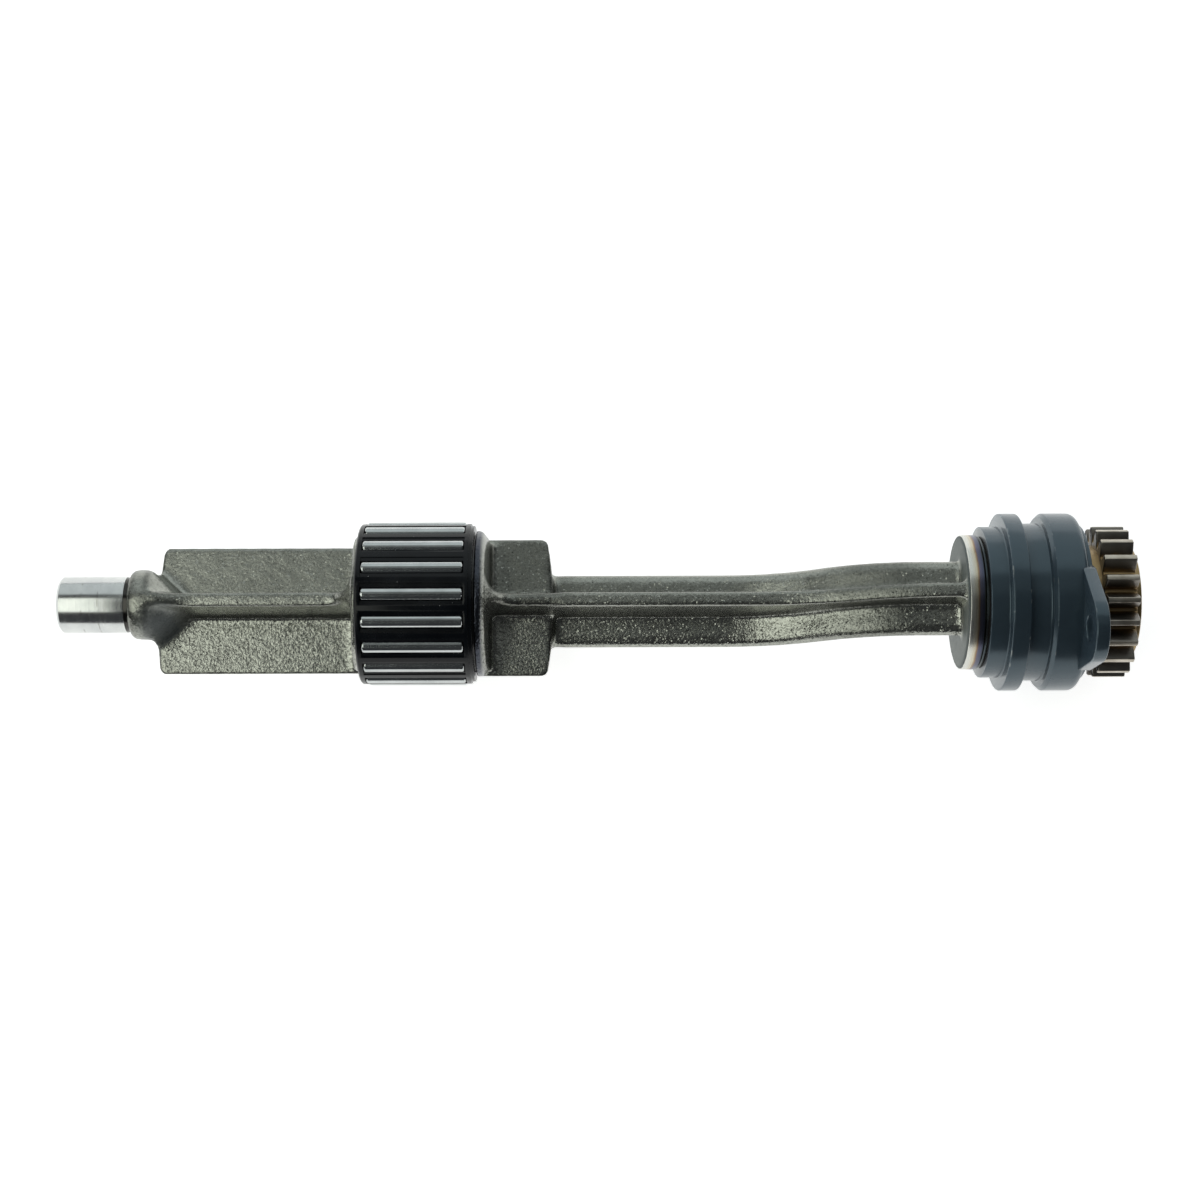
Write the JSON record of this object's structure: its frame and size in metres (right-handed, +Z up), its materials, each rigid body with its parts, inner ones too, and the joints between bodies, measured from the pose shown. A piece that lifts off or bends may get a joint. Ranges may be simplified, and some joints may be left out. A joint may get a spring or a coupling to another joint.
{
  "type": "balance shaft",
  "caption": "Forged engine balance shaft with offset weights and an S-bent ribbed neck, with needle bearing, eared bearing housing and drive gear.",
  "frame": {"origin": "on the shaft's axis, in the plane of the housing ear's seating face", "axes": "+X along the shaft towards the gear end, +Z up with the ribs up and the weights down, as it lies at rest"},
  "size_m": [0.3009, 0.05, 0.0625],
  "materials": {
    "forged_steel": "shot-blasted forged skin",
    "gear_steel": "oiled brown steel",
    "coated_housing": "satin coating",
    "bush_metal": "bored",
    "cage_plastic": "moulded",
    "roller_steel": "ground"
  },
  "bodies": {
    "shaft": {"balance_shaft": "forged_steel", "drive_gear": "gear_steel"},
    "housing": {"bearing_housing": "coated_housing", "bearing_bush": "bush_metal"},
    "cage": {"needle_cage": "cage_plastic"},
    "roller_01": {"roller_01": "roller_steel"},
    "roller_02": {"roller_02": "roller_steel"},
    "roller_03": {"roller_03": "roller_steel"},
    "roller_04": {"roller_04": "roller_steel"},
    "roller_05": {"roller_05": "roller_steel"},
    "roller_06": {"roller_06": "roller_steel"},
    "roller_07": {"roller_07": "roller_steel"},
    "roller_08": {"roller_08": "roller_steel"},
    "roller_09": {"roller_09": "roller_steel"},
    "roller_10": {"roller_10": "roller_steel"},
    "roller_11": {"roller_11": "roller_steel"},
    "roller_12": {"roller_12": "roller_steel"},
    "roller_13": {"roller_13": "roller_steel"},
    "roller_14": {"roller_14": "roller_steel"},
    "roller_15": {"roller_15": "roller_steel"},
    "roller_16": {"roller_16": "roller_steel"},
    "roller_17": {"roller_17": "roller_steel"},
    "roller_18": {"roller_18": "roller_steel"}
  },
  "joints": [
    {"name": "housing_turn", "type": "hinge", "parent": "shaft", "child": "housing", "pos_m": [-0.0108, 0, 0], "axis": [1, 0, 0], "continuous": true},
    {"name": "cage_turn", "type": "hinge", "parent": "shaft", "child": "cage", "pos_m": [-0.1824, 0, 0], "axis": [1, 0, 0], "continuous": true},
    {"name": "roller_01_spin", "type": "hinge", "parent": "cage", "child": "roller_01", "pos_m": [-0.1824, -0.00158, 0.02097], "axis": [1, 0, 0], "continuous": true},
    {"name": "roller_02_spin", "type": "hinge", "parent": "cage", "child": "roller_02", "pos_m": [-0.1824, 0.00569, 0.02025], "axis": [1, 0, 0], "continuous": true},
    {"name": "roller_03_spin", "type": "hinge", "parent": "cage", "child": "roller_03", "pos_m": [-0.1824, 0.01227, 0.01708], "axis": [1, 0, 0], "continuous": true},
    {"name": "roller_04_spin", "type": "hinge", "parent": "cage", "child": "roller_04", "pos_m": [-0.1824, 0.01737, 0.01185], "axis": [1, 0, 0], "continuous": true},
    {"name": "roller_05_spin", "type": "hinge", "parent": "cage", "child": "roller_05", "pos_m": [-0.1824, 0.02038, 0.00519], "axis": [1, 0, 0], "continuous": true},
    {"name": "roller_06_spin", "type": "hinge", "parent": "cage", "child": "roller_06", "pos_m": [-0.1824, 0.02093, -0.00209], "axis": [1, 0, 0], "continuous": true},
    {"name": "roller_07_spin", "type": "hinge", "parent": "cage", "child": "roller_07", "pos_m": [-0.1824, 0.01895, -0.00912], "axis": [1, 0, 0], "continuous": true},
    {"name": "roller_08_spin", "type": "hinge", "parent": "cage", "child": "roller_08", "pos_m": [-0.1824, 0.01469, -0.01505], "axis": [1, 0, 0], "continuous": true},
    {"name": "roller_09_spin", "type": "hinge", "parent": "cage", "child": "roller_09", "pos_m": [-0.1824, 0.00865, -0.01917], "axis": [1, 0, 0], "continuous": true},
    {"name": "roller_10_spin", "type": "hinge", "parent": "cage", "child": "roller_10", "pos_m": [-0.1824, 0.00158, -0.02097], "axis": [1, 0, 0], "continuous": true},
    {"name": "roller_11_spin", "type": "hinge", "parent": "cage", "child": "roller_11", "pos_m": [-0.1824, -0.00569, -0.02025], "axis": [1, 0, 0], "continuous": true},
    {"name": "roller_12_spin", "type": "hinge", "parent": "cage", "child": "roller_12", "pos_m": [-0.1824, -0.01227, -0.01708], "axis": [1, 0, 0], "continuous": true},
    {"name": "roller_13_spin", "type": "hinge", "parent": "cage", "child": "roller_13", "pos_m": [-0.1824, -0.01737, -0.01185], "axis": [1, 0, 0], "continuous": true},
    {"name": "roller_14_spin", "type": "hinge", "parent": "cage", "child": "roller_14", "pos_m": [-0.1824, -0.02038, -0.00519], "axis": [1, 0, 0], "continuous": true},
    {"name": "roller_15_spin", "type": "hinge", "parent": "cage", "child": "roller_15", "pos_m": [-0.1824, -0.02093, 0.00209], "axis": [1, 0, 0], "continuous": true},
    {"name": "roller_16_spin", "type": "hinge", "parent": "cage", "child": "roller_16", "pos_m": [-0.1824, -0.01895, 0.00912], "axis": [1, 0, 0], "continuous": true},
    {"name": "roller_17_spin", "type": "hinge", "parent": "cage", "child": "roller_17", "pos_m": [-0.1824, -0.01469, 0.01505], "axis": [1, 0, 0], "continuous": true},
    {"name": "roller_18_spin", "type": "hinge", "parent": "cage", "child": "roller_18", "pos_m": [-0.1824, -0.00865, 0.01917], "axis": [1, 0, 0], "continuous": true}
  ],
  "couplings": [
    {"joint": "roller_01_spin", "follows": "cage_turn", "ratio": 9.5},
    {"joint": "roller_02_spin", "follows": "cage_turn", "ratio": 9.5},
    {"joint": "roller_03_spin", "follows": "cage_turn", "ratio": 9.5},
    {"joint": "roller_04_spin", "follows": "cage_turn", "ratio": 9.5},
    {"joint": "roller_05_spin", "follows": "cage_turn", "ratio": 9.5},
    {"joint": "roller_06_spin", "follows": "cage_turn", "ratio": 9.5},
    {"joint": "roller_07_spin", "follows": "cage_turn", "ratio": 9.5},
    {"joint": "roller_08_spin", "follows": "cage_turn", "ratio": 9.5},
    {"joint": "roller_09_spin", "follows": "cage_turn", "ratio": 9.5},
    {"joint": "roller_10_spin", "follows": "cage_turn", "ratio": 9.5},
    {"joint": "roller_11_spin", "follows": "cage_turn", "ratio": 9.5},
    {"joint": "roller_12_spin", "follows": "cage_turn", "ratio": 9.5},
    {"joint": "roller_13_spin", "follows": "cage_turn", "ratio": 9.5},
    {"joint": "roller_14_spin", "follows": "cage_turn", "ratio": 9.5},
    {"joint": "roller_15_spin", "follows": "cage_turn", "ratio": 9.5},
    {"joint": "roller_16_spin", "follows": "cage_turn", "ratio": 9.5},
    {"joint": "roller_17_spin", "follows": "cage_turn", "ratio": 9.5},
    {"joint": "roller_18_spin", "follows": "cage_turn", "ratio": 9.5}
  ]
}
